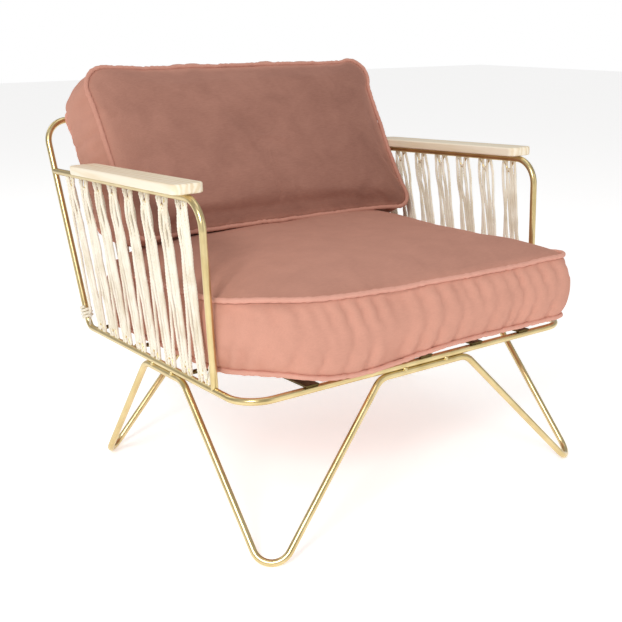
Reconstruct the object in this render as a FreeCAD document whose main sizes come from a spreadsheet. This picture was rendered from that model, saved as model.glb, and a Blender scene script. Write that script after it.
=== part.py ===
import FreeCAD, Part
import math
import os

# Low lounge armchair: a lacquered steel-rod frame on a zigzag leg rod, two arm
# loops with wooden boards, cotton cord laced down both sides and the back, and
# two loose velvet cushions with piped edges.  Millimetres and degrees.
# +Z is up, the chair faces -Y, and the origin is on the floor at the centre of
# the chair's footprint.

os.makedirs("parts", exist_ok=True)

V = FreeCAD.Vector
doc = FreeCAD.newDocument("upholstered_armchair")
sheet = doc.addObject("Spreadsheet::Sheet", "Dimensions")

# ---------------------------------------------------------------- dimensions
DIMENSIONS = [
    ("rod_diameter", 12.0, "round rod of the frame, legs and arm loops"),
    ("rail_half_width", 350.0, "side rail centre line from the middle"),
    ("seat_height", 259.4, "front rail centre line above the floor"),
    ("seat_slope", 2.7, "degrees the seat frame falls towards the back"),
    ("seat_depth", 599.2, "front rail to lower rear corner, along the seat"),
    ("front_corner_radius", 50.0, "plan bend at the front corners"),
    ("rear_corner_radius", 22.0, "bend from side rail into rear upright"),
    ("back_lean", 17.1, "degrees the uprights lean behind the seat normal"),
    ("back_height", 387.9, "top rail above the seat plane"),
    ("top_corner_radius", 45.0, "bend from rear upright into top rail"),
    ("arm_front_depth", 92.0, "front upright behind the front rail"),
    ("arm_height", 295.0, "arm rail centre line above the seat plane"),
    ("arm_bend_radius", 45.0, "bend at the front of the arm loop"),
    ("board_width", 54.0, "armrest board across"),
    ("board_length", 425.0, "armrest board front to back"),
    ("board_thickness", 16.0, "armrest board"),
    ("board_front_depth", 122.0, "board front end behind the front rail"),
    ("board_corner_radius", 14.0, "plan rounding of the board corners"),
    ("board_edge_radius", 3.0, "rounding along the board edges"),
    ("bar_diameter", 8.0, "cross bars under the seat"),
    ("bar_front_depth", 196.2, "front cross bar behind the front rail"),
    ("bar_middle_depth", 395.4, "middle cross bar behind the front rail"),
    ("bar_rear_depth", 565.6, "rear cross bar behind the front rail"),
    ("strip_width", 25.0, "flat seat strips"),
    ("strip_thickness", 3.0, "flat seat strips"),
    ("strip_pitch", 116.0, "between neighbouring seat strips"),
    ("leg_front_run", 95.0, "half length of the front leg run"),
    ("leg_rear_run", 114.0, "half length of the rear leg run"),
    ("leg_side_front", 202.0, "front bend of the side leg run"),
    ("leg_side_rear", 345.0, "rear bend of the side leg run"),
    ("leg_bend_radius", 34.0, "bends at the top of each leg"),
    ("foot_bend_radius", 32.0, "rounded foot of each leg"),
    ("foot_front_half", 336.0, "front foot from the middle"),
    ("foot_front_overhang", 37.0, "front foot ahead of the front rail"),
    ("foot_rear_half", 361.0, "rear foot from the middle"),
    ("foot_rear_depth", 510.0, "rear foot behind the front rail"),
    ("wire_diameter", 3.0, "bent wire hooks"),
    ("hook_half_width", 11.0, "hook at its welded ends"),
    ("hook_depth", 20.0, "hook apex from the rod surface"),
    ("cord_diameter", 6.0, "cotton lacing cord"),
    ("cord_offset", 5.0, "strand from the plane of the hooks"),
    ("side_upper_pitch", 65.3, "between hooks under an arm rail"),
    ("side_lower_pitch", 58.4, "between hooks on a side rail"),
    ("side_upper_first", 157.0, "front upper hook behind the front rail"),
    ("side_lower_first", 125.0, "front lower hook behind the front rail"),
    ("back_upper_pitch", 60.0, "between hooks under the top rail"),
    ("back_hook_clearance", 38.0, "rear bar hook from the middle of a seat strip"),
    ("seat_cushion_width", 666.0, "seat cushion across"),
    ("seat_cushion_depth", 568.0, "seat cushion front to back"),
    ("seat_cushion_height", 175.0, "seat cushion at its crown"),
    ("seat_cushion_overhang", 20.0, "seat cushion ahead of the front rail"),
    ("seat_corner_radius", 64.0, "plan corners of the seat cushion"),
    ("seat_crown_radius", 60.0, "rounding of the seat cushion top"),
    ("seat_underside_radius", 18.0, "rounding of the seat cushion underside"),
    ("piping_diameter", 8.0, "piping round the cushion edges"),
    ("back_cushion_width", 634.0, "back cushion across"),
    ("back_cushion_above_rail", 22.0, "back cushion top above the top rail"),
    ("back_cushion_thickness", 150.0, "back cushion through"),
    ("back_cushion_lean", 30.0, "degrees the back cushion leans"),
    ("back_cushion_shift", 3.0, "back cushion from the middle"),
    ("back_corner_radius", 44.0, "face corners of the back cushion"),
    ("back_edge_radius", 14.0, "rounding round both faces"),
    ("rod_gap", 0.2, "clearance between welded or fixed pieces"),
    ("cushion_gap", 1.0, "clearance between a cushion and what holds it"),
]


def fill_sheet():
    """Write each driving size as a plain number with an alias."""
    for row, (alias, value, meaning) in enumerate(DIMENSIONS, start=1):
        sheet.set("A%d" % row, meaning)
        sheet.set("B%d" % row, str(value))
        sheet.setAlias("B%d" % row, alias)
    doc.recompute()


def size(alias):
    """The value of one driving size."""
    return float(sheet.get(alias))


fill_sheet()

rod_r = size("rod_diameter") / 2
half = size("rail_half_width")
slope = math.radians(size("seat_slope"))
gap = size("rod_gap")
SIDES = (("left", -1), ("right", 1))
SIDE_HOOKS = 8
BACK_UPPER_HOOKS = 9
STRIP_COUNT = 5
BACK_BLANK_HEIGHT = 420.0


# ---------------------------------------------------------------- seat plane
def seat_point(x, depth, lift):
    """A point given across, back along the seat and square up from it."""
    y = depth * math.cos(slope) + lift * math.sin(slope)
    z = size("seat_height") - depth * math.sin(slope) + lift * math.cos(slope)
    return V(x, y, z)


def back_point(x, along):
    """A point on the plane of the rear uprights, measured up from the seat."""
    lean = math.radians(size("back_lean"))
    depth = size("seat_depth") + along * math.tan(lean)
    return seat_point(x, depth, along)


# ---------------------------------------------------------------- rod shapes
def unit(vector):
    """A copy of the vector, one millimetre long."""
    return V(vector).normalize()


def bent_wire(points, radii):
    """Straight runs joined by tangent arcs; radii are for the inner points."""
    edges = []
    start = points[0]
    for before, corner, after, radius in zip(points, points[1:], points[2:], radii):
        to_before = unit(before - corner)
        to_after = unit(after - corner)
        angle = to_before.getAngle(to_after)
        reach = radius / math.tan(angle / 2)
        entry = corner + to_before * reach
        leave = corner + to_after * reach
        inward = unit(to_before + to_after)
        middle = corner + inward * (radius / math.sin(angle / 2) - radius)
        edges.append(Part.LineSegment(start, entry).toShape())
        edges.append(Part.Arc(entry, middle, leave).toShape())
        start = leave
    edges.append(Part.LineSegment(start, points[-1]).toShape())
    return Part.Wire(edges)


def rod_along(wire, radius):
    """A solid round rod whose centre line is the wire."""
    first = wire.Edges[0]
    heading = first.tangentAt(first.FirstParameter)
    ring = Part.Circle(first.valueAt(first.FirstParameter), heading, radius)
    profile = Part.Wire([ring.toShape()])
    return wire.makePipeShell([profile], True, False)


def mirrored(shape):
    """The same shape on the other side of the middle plane."""
    return shape.mirror(V(0, 0, 0), V(1, 0, 0))


def closed_from_half(shape):
    """A whole rod from the half on one side of the middle plane."""
    return shape.fuse(mirrored(shape)).removeSplitter()


def compound(shapes):
    """Several solids kept together as one piece."""
    return Part.makeCompound(shapes)


# ---------------------------------------------------------------- the frame
def main_frame_half():
    """Top rail, rear upright, side rail and front rail of the left half."""
    points = [
        back_point(0, size("back_height")),
        back_point(-half, size("back_height")),
        seat_point(-half, size("seat_depth"), 0),
        seat_point(-half, 0, 0),
        seat_point(0, 0, 0),
    ]
    radii = [
        size("top_corner_radius"),
        size("rear_corner_radius"),
        size("front_corner_radius"),
    ]
    return rod_along(bent_wire(points, radii), rod_r)


def foot_corner(top_a, top_b, foot, radius):
    """The sharp corner whose rounded bend has its lowest point at the foot."""
    corner = V(foot)
    for _ in range(12):
        arm_a = unit(top_a - corner)
        arm_b = unit(top_b - corner)
        opening = arm_a.getAngle(arm_b) / 2
        drop = radius / math.sin(opening) - radius
        inward = unit(arm_a + arm_b)
        target = corner + inward * drop
        lowest = lowest_on_bend(corner, arm_a, arm_b, radius)
        error = V(foot.x - target.x, foot.y - target.y, foot.z - lowest)
        corner = corner + error
    return corner


def lowest_on_bend(corner, arm_a, arm_b, radius):
    """Height of the lowest point of the arc that rounds a corner."""
    opening = arm_a.getAngle(arm_b) / 2
    centre = corner + unit(arm_a + arm_b) * (radius / math.sin(opening))
    normal = arm_a.cross(arm_b).normalize()
    downward = V(0, 0, -1) - normal * normal.dot(V(0, 0, -1))
    return (centre + unit(downward) * radius).z


def leg_frame_half():
    """Rear run, rear leg, side run, front leg and front run, left half."""
    under_rail = -2 * rod_r - gap
    under_bar = bar_lift() - size("bar_diameter") / 2 - rod_r - gap
    rear_run = seat_point(-size("leg_rear_run"), size("bar_rear_depth"), under_bar)
    rear_side = seat_point(-half, size("leg_side_rear"), under_rail)
    front_side = seat_point(-half, size("leg_side_front"), under_rail)
    front_run = seat_point(-size("leg_front_run"), 0, under_rail)
    rear_foot = V(-size("foot_rear_half"), size("foot_rear_depth"), rod_r)
    front_foot = V(-size("foot_front_half"), -size("foot_front_overhang"), rod_r)
    foot_radius = size("foot_bend_radius")
    bend = size("leg_bend_radius")
    points = [
        V(0, rear_run.y, rear_run.z),
        rear_run,
        foot_corner(rear_run, rear_side, rear_foot, foot_radius),
        rear_side,
        front_side,
        foot_corner(front_side, front_run, front_foot, foot_radius),
        front_run,
        V(0, front_run.y, front_run.z),
    ]
    radii = [bend, foot_radius, bend, bend, foot_radius, bend]
    return rod_along(bent_wire(points, radii), rod_r)


def arm_loop(side):
    """Front upright and arm rail, coped to the side rail and rear upright."""
    x = side * half
    lift = size("arm_height")
    points = [
        seat_point(x, size("arm_front_depth"), 0),
        seat_point(x, size("arm_front_depth"), lift),
        back_point(x, lift),
    ]
    rod = rod_along(bent_wire(points, [size("arm_bend_radius")]), rod_r)
    rail = Part.makeCylinder(
        rod_r + gap, 200, seat_point(x, 0, 0), seat_point(0, 1, 0) - seat_point(0, 0, 0)
    )
    low = back_point(x, lift - 100)
    high = back_point(x, lift + 100)
    upright = Part.makeCylinder(rod_r + gap, (high - low).Length, low, high - low)
    return rod.cut(rail).cut(upright)


def weld_beads(main, legs, bars):
    """Small beads where legs and cross bars are welded to the rails."""
    bead_r = 4.2
    spots = []
    under = -rod_r - gap / 2
    for side in (-1, 1):
        for depth in (size("leg_side_front") + 35, size("leg_side_rear") - 35):
            spots.append(seat_point(side * (half + 3.2), depth, under))
            spots.append(seat_point(side * (half - 3.2), depth, under))
        spots.append(seat_point(side * 45, -3.2, under))
        for depth in bar_depths():
            reach = half - rod_r - 1
            spots.append(seat_point(side * reach, depth, bar_lift() + 2.5))
    beads = [Part.makeSphere(bead_r, spot) for spot in spots]
    return compound([bead.cut([main, legs] + bars).Solids[0] for bead in beads])


# ---------------------------------------------------------------- the seat
def bar_depths():
    """How far behind the front rail each cross bar lies."""
    return (size("bar_front_depth"), size("bar_middle_depth"), size("bar_rear_depth"))


def bar_lift():
    """Cross bar centre line above the seat plane, level with the rail tops."""
    return rod_r - size("bar_diameter") / 2


def seat_placement(x, depth, lift):
    """Placement with its axes turned into the seat plane."""
    turn = FreeCAD.Rotation(V(1, 0, 0), -size("seat_slope"))
    return FreeCAD.Placement(seat_point(x, depth, lift), turn)


# ---------------------------------------------------------------- the lacing
def hook(at, towards, along):
    """A bent wire V: welded ends at the rod, apex away from it."""
    wire_r = size("wire_diameter") / 2
    spread = unit(along) * size("hook_half_width")
    apex = at + unit(towards) * size("hook_depth")
    points = [at - spread, apex, at + spread]
    return rod_along(bent_wire(points, [wire_r * 1.6]), wire_r)


def side_depths(row):
    """Hook positions along one side, front to back, for one row."""
    first = size("side_%s_first" % row)
    pitch = size("side_%s_pitch" % row)
    return [first + step * pitch for step in range(SIDE_HOOKS)]


def side_hooks(side, upper):
    """The row of hooks under an arm rail or on top of a side rail."""
    x = side * half
    start = rod_r + gap + size("wire_diameter") / 2
    up = seat_point(0, 0, 1) - seat_point(0, 0, 0)
    back = seat_point(0, 1, 0) - seat_point(0, 0, 0)
    shapes = []
    if upper:
        lift = size("arm_height") - start
        for depth in side_depths("upper"):
            shapes.append(hook(seat_point(x, depth, lift), up * -1, back))
    else:
        for depth in side_depths("lower"):
            shapes.append(hook(seat_point(x, depth, start), up, back))
    return compound(shapes)


def cord_seat():
    """Height of a cord above a hook apex where it just fits the V."""
    opening = math.atan(size("hook_half_width") / size("hook_depth"))
    room = size("cord_diameter") / 2 + size("wire_diameter") / 2 + 0.3
    return room / math.sin(opening)


def laced(turns, across, strand_ends):
    """Cord path that passes through each hook in turn, one side to the other."""
    points = [strand_ends[0]]
    offset = size("cord_offset")
    for index, (centre, past) in enumerate(turns):
        sign = 1 if index % 2 == 0 else -1
        points.append(centre + past + across * (offset * sign))
        points.append(centre + past - across * (offset * sign))
    points.append(strand_ends[1])
    radii = [offset - 0.1] * (len(points) - 2)
    return rod_along(bent_wire(points, radii), size("cord_diameter") / 2)


def side_lacing(side):
    """One cord zigzagging between the arm rail hooks and side rail hooks."""
    x = side * half
    start = rod_r + gap + size("wire_diameter") / 2
    reach = size("hook_depth") - cord_seat()
    high = size("arm_height") - start - reach
    low = start + reach
    up = seat_point(0, 0, 1) - seat_point(0, 0, 0)
    turns = []
    uppers = side_depths("upper")
    lowers = side_depths("lower")
    for upper, lower in zip(reversed(uppers), reversed(lowers)):
        turns.append((seat_point(x, upper, high), up * 1.0))
        turns.append((seat_point(x, lower, low), up * -1.0))
    across = V(-side, 0, 0)
    offset = size("cord_offset") * side
    rear_end = seat_point(x - offset, size("seat_depth") - 4, 48)
    front_end = seat_point(x - offset, lowers[0] - 14, 66)
    return laced(turns, across, (rear_end, front_end))


def side_knot(side):
    """Three turns of cord tied round the foot of a rear upright."""
    cord_r = size("cord_diameter") / 2
    x = side * half
    rise = unit(back_point(x, 100) - back_point(x, 0))
    above_bend = size("rear_corner_radius")
    rings = []
    for step in range(3):
        centre = back_point(x, 0) + rise * (above_bend + step * (2 * cord_r + 0.4))
        rings.append(Part.makeTorus(rod_r + cord_r + 0.3, cord_r, centre, rise))
    return compound(rings)


def back_upper_spots():
    """Hook positions under the top rail, left to right."""
    pitch = size("back_upper_pitch")
    first = -pitch * (BACK_UPPER_HOOKS - 1) / 2
    return [first + step * pitch for step in range(BACK_UPPER_HOOKS)]


def strip_spots():
    """Middles of the seat strips, left to right."""
    pitch = size("strip_pitch")
    return [(step - (STRIP_COUNT - 1) / 2) * pitch for step in range(STRIP_COUNT)]


def back_lower_spots():
    """Hook positions on the rear bar: one each side of every seat strip."""
    clear = size("back_hook_clearance")
    spots = []
    for middle in strip_spots():
        spots.extend([middle - clear, middle + clear])
    return spots


def back_line():
    """Rear bar and top rail centres, and the direction between them."""
    low = seat_point(0, size("bar_rear_depth"), bar_lift())
    high = back_point(0, size("back_height"))
    return low, high, unit(high - low)


def back_hooks(upper):
    """The row of hooks under the top rail or on top of the rear bar."""
    low, high, rise = back_line()
    wire_r = size("wire_diameter") / 2
    shapes = []
    for x in back_upper_spots() if upper else back_lower_spots():
        if upper:
            at = high - rise * (rod_r + gap + wire_r) + V(x, 0, 0)
            shapes.append(hook(at, rise * -1, V(1, 0, 0)))
        else:
            away = size("bar_diameter") / 2 + gap + wire_r
            at = low + rise * away + V(x, 0, 0)
            shapes.append(hook(at, rise, V(1, 0, 0)))
    return compound(shapes)


def back_lacing():
    """One cord zigzagging between the top rail and the rear bar."""
    low, high, rise = back_line()
    wire_r = size("wire_diameter") / 2
    reach = size("hook_depth") - cord_seat()
    top = high - rise * (rod_r + gap + wire_r + reach)
    bottom = low + rise * (size("bar_diameter") / 2 + gap + wire_r + reach)
    uppers = back_upper_spots()
    lowers = back_lower_spots()
    turns = [(bottom + V(lowers[0], 0, 0), rise * -1.0)]
    for upper, lower in zip(uppers, lowers[1:]):
        turns.append((top + V(upper, 0, 0), rise * 1.0))
        turns.append((bottom + V(lower, 0, 0), rise * -1.0))
    across = rise.cross(V(1, 0, 0))
    offset = across * size("cord_offset")
    tail = 70.0
    start = bottom + V(lowers[0] - 14, 0, 0) + offset + rise * tail
    finish = bottom + V(lowers[-1] + 14, 0, 0) + rise * tail
    finish = finish + offset * (1 if len(turns) % 2 == 0 else -1)
    return laced(turns, across, (start, finish))


# ---------------------------------------------------------------- cushions
def rounded_loop(width, height, radius):
    """A rounded rectangle as a closed wire round the origin."""
    w = width / 2
    h = height / 2
    s = radius * math.sin(math.pi / 4)
    rx = w - radius
    ry = h - radius
    corners = [(rx, ry, 1, 1), (-rx, ry, -1, 1), (-rx, -ry, -1, -1), (rx, -ry, 1, -1)]
    arcs = []
    for cx, cy, sx, sy in corners:
        side = V(cx + sx * radius, cy, 0)
        middle = V(cx + sx * s, cy + sy * s, 0)
        top = V(cx, cy + sy * radius, 0)
        ends = (side, top) if sx * sy > 0 else (top, side)
        arcs.append((ends[0], middle, ends[1]))
    edges = []
    for index, (begin, middle, end) in enumerate(arcs):
        edges.append(Part.Arc(begin, middle, end).toShape())
        following = arcs[(index + 1) % 4][0]
        edges.append(Part.LineSegment(end, following).toShape())
    return Part.Wire(edges)


def piping_ring(width, height, radius):
    """A closed round cord lying along a rounded rectangle."""
    wire = rounded_loop(width, height, radius)
    half_ring = Part.Wire(wire.Edges[1:5])
    other = Part.Wire(wire.Edges[5:8] + wire.Edges[0:1])
    cord_r = size("piping_diameter") / 2
    first = rod_along(half_ring, cord_r)
    second = rod_along(other, cord_r)
    return first.fuse(second).removeSplitter()


def edges_where(feature, where, test):
    """Numbers of the edges that pass a test made in the piece's own axes."""
    inverse = where.inverse()
    numbers = []
    for number, edge in enumerate(feature.Shape.Edges, start=1):
        middle = inverse.multVec(edge.CenterOfMass)
        ends = edge.Vertexes[0].Point - edge.Vertexes[-1].Point
        run = inverse.Rotation.multVec(ends)
        if test(run, middle):
            numbers.append(number)
    return numbers


def box(name, label, sizes, placement):
    """A box whose three sizes come from the sheet."""
    solid = doc.addObject("Part::Box", name)
    solid.Label = label
    for side_name, formula in zip(("Length", "Width", "Height"), sizes):
        solid.setExpression(side_name, formula)
    solid.Placement = placement
    doc.recompute()
    return solid


def rounded(name, label, base, numbers, radius):
    """A copy of the base with the numbered edges rounded."""
    soft = doc.addObject("Part::Fillet", name)
    soft.Label = label
    soft.Base = base
    soft.Edges = [(number, radius, radius) for number in numbers]
    doc.recompute()
    return soft


def is_upright(run, middle):
    """True for an edge that runs straight up its own box."""
    return abs(run.z) > 1 and abs(run.x) < 0.01 and abs(run.y) < 0.01


# ---------------------------------------------------------------- assembly
named = {}


def keep(label, feature):
    """Remember a finished piece under its own label."""
    feature.Label = label
    named[label] = feature
    return feature


def piece(label, shape, placement=None):
    """A finished piece from a shape built in the working frame."""
    feature = doc.addObject("Part::Feature", label)
    feature.Shape = shape
    feature.Placement = placement or FreeCAD.Placement()
    return keep(label, feature)


main_shape = closed_from_half(main_frame_half())
leg_shape = closed_from_half(leg_frame_half())

# The working frame has the front rail over y = 0; the finished chair is centred.
front_edge = leg_shape.optimalBoundingBox().YMin
rear_edge = main_shape.optimalBoundingBox().YMax
centring = V(0, -(front_edge + rear_edge) / 2, 0)
to_centre = FreeCAD.Placement(centring, FreeCAD.Rotation())

piece("main_frame", main_shape, to_centre)
piece("leg_frame", leg_shape, to_centre)


def add_arm_loops():
    """Two coped arm loops."""
    for word, side in SIDES:
        piece("arm_loop_" + word, arm_loop(side), to_centre)


def add_cross_bars():
    """Three round bars between the side rails."""
    shapes = []
    words = ("front", "middle", "rear")
    for word, depth in zip(words, bar_depths()):
        bar = doc.addObject("Part::Cylinder", "cross_bar_" + word)
        bar.setExpression("Radius", "Dimensions.bar_diameter / 2")
        length = "2 * (Dimensions.rail_half_width - Dimensions.rod_diameter / 2 - Dimensions.rod_gap)"
        bar.setExpression("Height", length)
        turn = FreeCAD.Rotation(V(0, 1, 0), 90)
        reach = half - rod_r - gap
        bar.Placement = FreeCAD.Placement(seat_point(-reach, depth, bar_lift()) + centring, turn)
        doc.recompute()
        keep("cross_bar_" + word, bar)
        shape = bar.Shape.copy()
        shape.translate(centring * -1)
        shapes.append(shape)
    return shapes


def add_seat_strips():
    """Five flat strips on the front rail and the cross bars."""
    front = -rod_r
    for index, middle in enumerate(strip_spots()):
        x = middle - size("strip_width") / 2
        where = seat_placement(x, front, rod_r + gap)
        where.Base = where.Base + centring
        sizes = (
            "Dimensions.strip_width",
            "Dimensions.bar_rear_depth + Dimensions.rod_diameter",
            "Dimensions.strip_thickness",
        )
        label = "seat_strip_%d" % (index + 1)
        keep(label, box(label, label, sizes, where))


def add_armrests():
    """A wooden board on each arm rail, with rounded corners and edges."""
    for word, side in SIDES:
        x = side * half - size("board_width") / 2
        lift = size("arm_height") + rod_r + gap
        where = seat_placement(x, size("board_front_depth"), lift)
        where.Base = where.Base + centring
        sizes = (
            "Dimensions.board_width",
            "Dimensions.board_length",
            "Dimensions.board_thickness",
        )
        label = "armrest_" + word
        blank = box(label + "_blank", label + "_blank", sizes, where)
        corners = edges_where(blank, where, is_upright)
        cut = rounded(label + "_corners", label + "_corners", blank, corners,
                      size("board_corner_radius"))
        rims = edges_where(cut, where, lambda run, middle: not is_upright(run, middle))
        keep(label, rounded(label, label, cut, rims, size("board_edge_radius")))


def add_lacing():
    """Hooks, cords and tied turns on both sides and the back."""
    for word, side in SIDES:
        piece("upper_hooks_" + word, side_hooks(side, True), to_centre)
        piece("lower_hooks_" + word, side_hooks(side, False), to_centre)
        piece("lacing_cord_" + word, side_lacing(side), to_centre)
        piece("lacing_knot_" + word, side_knot(side), to_centre)
    piece("upper_hooks_back", back_hooks(True), to_centre)
    piece("lower_hooks_back", back_hooks(False), to_centre)
    piece("lacing_cord_back", back_lacing(), to_centre)


def add_seat_cushion():
    """Box cushion with a rounded crown and two piping cords."""
    width = size("seat_cushion_width")
    depth = size("seat_cushion_depth")
    height = size("seat_cushion_height")
    crown = size("seat_crown_radius")
    under = size("seat_underside_radius")
    bottom = rod_r + gap + size("strip_thickness") + size("cushion_gap")
    front = -size("seat_cushion_overhang")
    where = seat_placement(-width / 2, front, bottom)
    where.Base = where.Base + centring
    sizes = (
        "Dimensions.seat_cushion_width",
        "Dimensions.seat_cushion_depth",
        "Dimensions.seat_cushion_height",
    )
    block = box("seat_block", "seat_block", sizes, where)
    corners = edges_where(block, where, is_upright)
    plan = rounded("seat_plan", "seat_plan", block, corners, size("seat_corner_radius"))
    tops = edges_where(plan, where, lambda run, middle: middle.z > height - 1)
    domed = rounded("seat_domed", "seat_domed", plan, tops, crown)
    lows = edges_where(domed, where, lambda run, middle: middle.z < 1)
    keep("seat_cushion", rounded("seat_cushion", "seat_cushion", domed, lows, under))

    cord_r = size("piping_diameter") / 2
    tilt = math.radians(3)
    reach = crown + cord_r + gap
    grow = reach * math.cos(tilt) - crown
    lift = height - crown + reach * math.sin(tilt)
    add_piping("seat_piping_top", where, (width, depth), lift, grow, size("seat_corner_radius"))
    tuck = math.radians(30)
    reach = under + cord_r + gap
    grow = reach * math.cos(tuck) - under
    lift = under - reach * math.sin(tuck)
    add_piping("seat_piping_bottom", where, (width, depth), lift, grow, size("seat_corner_radius"))


def add_piping(label, where, plan, lift, grow, corner):
    """A piping cord parallel to a cushion's edge at one height."""
    ring = piping_ring(plan[0] + 2 * grow, plan[1] + 2 * grow, corner + grow)
    middle = where.multVec(V(plan[0] / 2, plan[1] / 2, lift))
    piece(label, ring, FreeCAD.Placement(middle, where.Rotation))


def add_back_cushion():
    """Box cushion leaning on the top rail, cut level where it meets the seat."""
    width = size("back_cushion_width")
    thick = size("back_cushion_thickness")
    lean = size("back_cushion_lean")
    edge_r = size("back_edge_radius")
    gap_here = size("cushion_gap")
    turn = FreeCAD.Rotation(V(1, 0, 0), -lean)
    face = turn.multVec(V(0, 0, 1))
    through = turn.multVec(V(0, 1, 0))
    rail = back_point(0, size("back_height"))
    # The rear piping stands a gap in front of the top rail.
    proud = (edge_r + size("piping_diameter") / 2 + gap) * math.cos(math.pi / 4)
    proud = proud - edge_r + size("piping_diameter") / 2
    rear_touch = rail - through * (rod_r + gap_here + proud)
    rear_top = rear_touch + face * size("back_cushion_above_rail")
    front_low = rear_top - through * thick - face * BACK_BLANK_HEIGHT
    corner = front_low + V(size("back_cushion_shift") - width / 2, 0, 0)
    where = FreeCAD.Placement(corner + centring, turn)
    sizes = (
        "Dimensions.back_cushion_width",
        "Dimensions.back_cushion_thickness",
        str(BACK_BLANK_HEIGHT),
    )
    block = box("back_block", "back_block", sizes, where)

    # Everything below the seat cushion's crown, plus the gap, is cut away.
    bottom = rod_r + gap + size("strip_thickness") + size("cushion_gap")
    crown_top = bottom + size("seat_cushion_height") + gap_here
    keep_out = seat_placement(-width, 0, crown_top - 300)
    keep_out.Base = keep_out.Base + centring
    floor = box("seat_keep_out", "seat_keep_out", ("2000", "2000", "300"), keep_out)
    level = doc.addObject("Part::Cut", "back_level")
    level.Base = block
    level.Tool = floor
    doc.recompute()

    def runs_through(run, middle):
        """True for the four edges that run from the front to the rear face."""
        return abs(run.x) < 1 and abs(run.y) > thick * 0.5

    crossing = edges_where(level, where, runs_through)
    faced = rounded("back_faced", "back_faced", level, crossing, size("back_corner_radius"))

    def on_a_face(run, middle):
        """True for the edges that go round the front or the rear face."""
        return middle.y < 0.5 or middle.y > thick - 0.5

    rims = edges_where(faced, where, on_a_face)
    keep("back_cushion", rounded("back_cushion", "back_cushion", faced, rims, edge_r))
    add_back_piping(where, level.Shape)


def add_back_piping(where, shape):
    """Piping round the front face and the rear face of the back cushion."""
    inverse = where.inverse()
    thick = size("back_cushion_thickness")
    edge_r = size("back_edge_radius")
    cord_r = size("piping_diameter") / 2
    reach = (edge_r + cord_r + gap) * math.cos(math.pi / 4)
    grow = reach - edge_r
    skew = math.radians(size("back_cushion_lean") - size("seat_slope"))
    wide = size("back_cushion_width")
    corner = size("back_corner_radius") + grow - 4
    for label, depth, inset, wedge in (
        ("back_piping_front", 0.0, edge_r - reach, math.pi / 4 - skew / 2),
        ("back_piping_rear", thick, thick - edge_r + reach, math.pi / 4 + skew / 2),
    ):
        lows = [
            inverse.multVec(vertex.Point).z
            for vertex in shape.Vertexes
            if abs(inverse.multVec(vertex.Point).y - depth) < 0.5
        ]
        low = min(lows) + edge_r / math.tan(wedge) - reach
        high = BACK_BLANK_HEIGHT + grow
        ring = piping_ring(wide + 2 * grow, high - low, corner)
        stand = FreeCAD.Rotation(V(1, 0, 0), 90)
        middle = where.multVec(V(wide / 2, inset, (low + high) / 2))
        piece(label, ring, FreeCAD.Placement(middle, where.Rotation.multiply(stand)))


add_arm_loops()
bar_shapes = add_cross_bars()
add_seat_strips()
add_armrests()
add_lacing()
piece("weld_beads", weld_beads(main_shape, leg_shape, bar_shapes), to_centre)
add_seat_cushion()
add_back_cushion()
doc.recompute()

# ---------------------------------------------------------------- checks
for item in doc.Objects:
    if "Invalid" in item.State or "Error" in item.State:
        raise RuntimeError("feature failed: " + item.Label)

for label, feature in named.items():
    shape = feature.Shape
    if shape.isNull() or not shape.isValid() or not shape.Solids:
        raise RuntimeError("no valid solid: " + label)
    shape.exportStep("parts/%s.step" % label)

print("pieces written:", len(named))
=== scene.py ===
# %% [markdown]
# # A lounge armchair: rod frame, laced sides, velvet cushions
#
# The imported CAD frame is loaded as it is. Everything soft is built around it
# here: twisted cotton cords, the seat and back cushions, and their piping.
# Lengths are in metres, +Z is up and the sitter faces -Y.

# %%
import math
import bpy
import numpy as np
from mathutils import Matrix, Vector


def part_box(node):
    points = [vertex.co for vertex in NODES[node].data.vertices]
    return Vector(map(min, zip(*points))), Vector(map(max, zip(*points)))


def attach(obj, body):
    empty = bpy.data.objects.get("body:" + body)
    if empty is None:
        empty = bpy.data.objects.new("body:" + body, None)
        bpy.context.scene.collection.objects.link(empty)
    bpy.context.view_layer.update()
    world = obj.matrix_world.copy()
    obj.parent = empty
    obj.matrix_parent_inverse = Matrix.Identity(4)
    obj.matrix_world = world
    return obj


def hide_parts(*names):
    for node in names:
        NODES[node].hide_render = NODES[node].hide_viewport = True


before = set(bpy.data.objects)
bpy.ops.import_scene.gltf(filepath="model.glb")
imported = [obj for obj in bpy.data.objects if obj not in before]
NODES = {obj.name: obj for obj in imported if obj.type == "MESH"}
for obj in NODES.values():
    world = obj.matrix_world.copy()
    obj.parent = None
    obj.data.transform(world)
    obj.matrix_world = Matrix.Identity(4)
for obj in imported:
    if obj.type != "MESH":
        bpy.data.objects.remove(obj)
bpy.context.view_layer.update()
print("CAD nodes:", len(NODES))

# %% [markdown]
# ## Helpers
#
# `mesh_piece` turns numpy arrays into an object. `grid_faces` gives the quads
# of a sheet of rows and columns, closed round one or both ways if asked.

# %%
def mesh_piece(name, points, faces, uv=None):
    """A mesh object from an (n, 3) array of points and a list of the corners of each face."""
    mesh = bpy.data.meshes.new(name)
    mesh.from_pydata(np.asarray(points, float).tolist(), [], faces)
    mesh.shade_smooth()
    if uv is not None:
        layer = mesh.uv_layers.new(name="along")
        loops = np.zeros(len(mesh.loops), np.int32)
        mesh.loops.foreach_get("vertex_index", loops)
        layer.data.foreach_set("uv", np.asarray(uv, np.float32)[loops].ravel())
    piece = bpy.data.objects.new(name, mesh)
    bpy.context.scene.collection.objects.link(piece)
    return piece


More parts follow.
